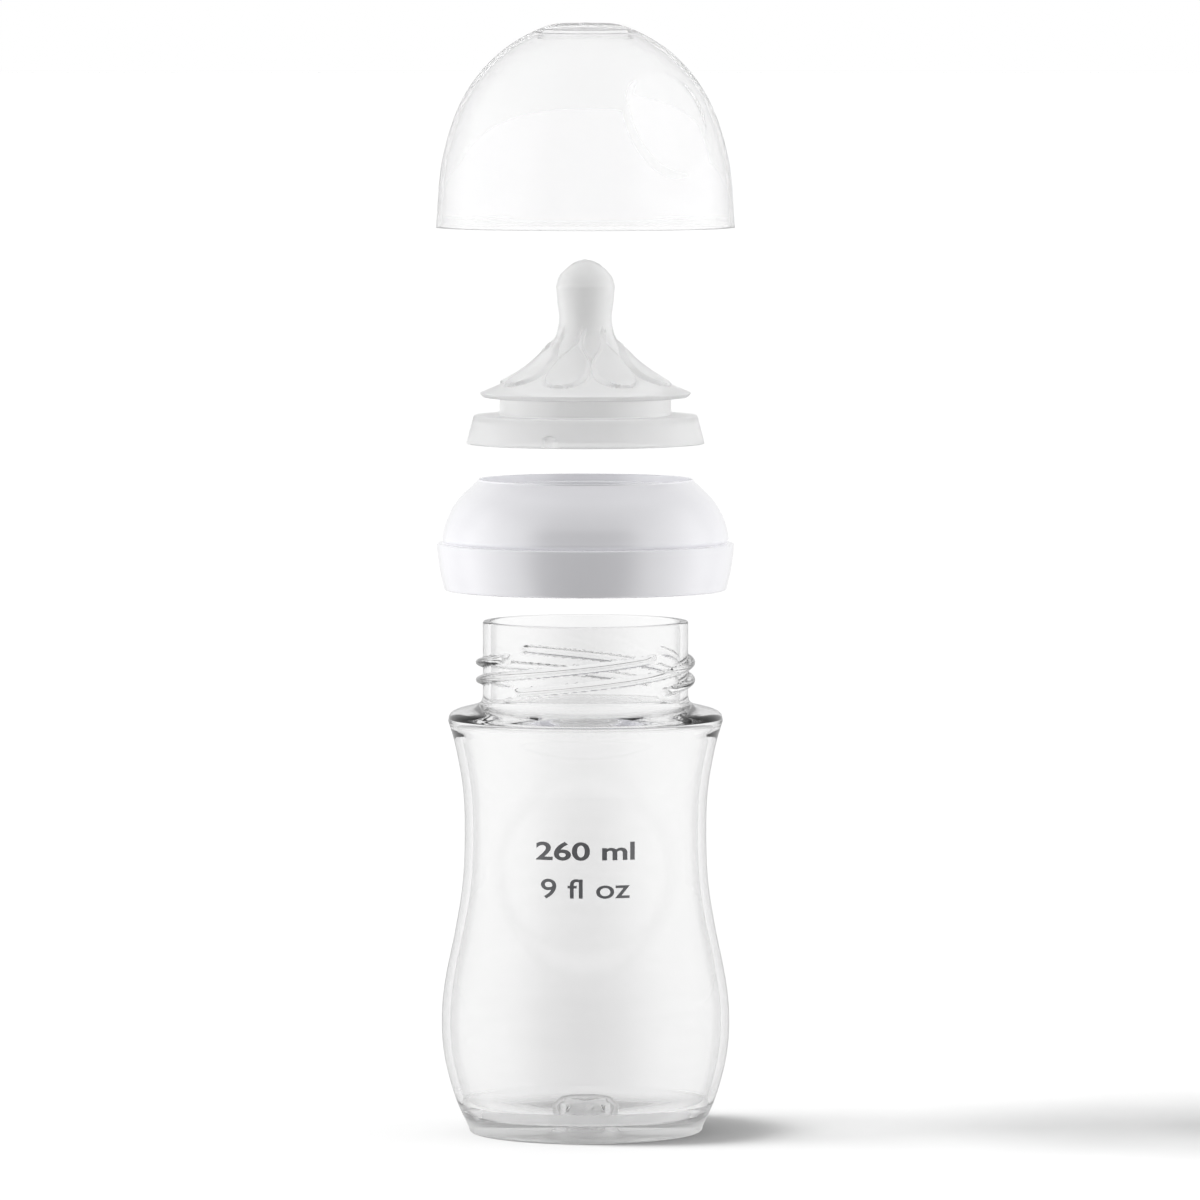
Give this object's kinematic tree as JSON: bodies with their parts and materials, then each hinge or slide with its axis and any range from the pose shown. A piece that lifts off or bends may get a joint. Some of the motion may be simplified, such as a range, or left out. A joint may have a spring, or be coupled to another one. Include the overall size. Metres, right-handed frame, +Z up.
{
  "type": "baby bottle",
  "caption": "Waisted clear feeding bottle with a threaded neck, white screw ring, soft silicone teat and dome cap, drawn apart along one axis.",
  "frame": {"origin": "centre of the bottle's base, on the surface it stands on", "axes": "+Z up along the common axis of all pieces; -Y is the front, with the round grip panel; the cap's thumb dish is on the front right, towards +X"},
  "size_m": [0.072, 0.072, 0.268],
  "materials": {
    "clear_plastic": "clear, polished, lightly grey where the wall is thick",
    "white_plastic": "opaque white, glossy",
    "clear_silicone": "translucent silicone, satin",
    "frosted_plastic": "translucent, smooth"
  },
  "bodies": {
    "bottle": {"bottle": "clear_plastic"},
    "ring_shell": {"screw_ring_shell": "white_plastic"},
    "ring_sleeve": {"screw_ring_sleeve": "white_plastic"},
    "teat": {"teat": "clear_silicone"},
    "cap": {"cap": "frosted_plastic"}
  },
  "joints": [
    {"name": "ring_lift", "type": "slide", "parent": "bottle", "child": "ring_shell", "axis": [0, 0, 1], "range_m": [-0.0275, 0]},
    {"name": "ring_turn", "type": "hinge", "parent": "ring_shell", "child": "ring_sleeve", "pos_m": [0, 0, 0.1313], "axis": [0, 0, 1], "range_deg": [-584, 0]},
    {"name": "teat_lift", "type": "slide", "parent": "ring_shell", "child": "teat", "axis": [0, 0, 1], "range_m": [-0.0209, 0], "deforming": ["teat"]},
    {"name": "cap_lift", "type": "slide", "parent": "teat", "child": "cap", "axis": [0, 0, 1], "range_m": [-0.0548, 0]}
  ],
  "couplings": [
    {"joint": "ring_turn", "follows": "ring_lift", "rad_per_m": 370.47}
  ]
}
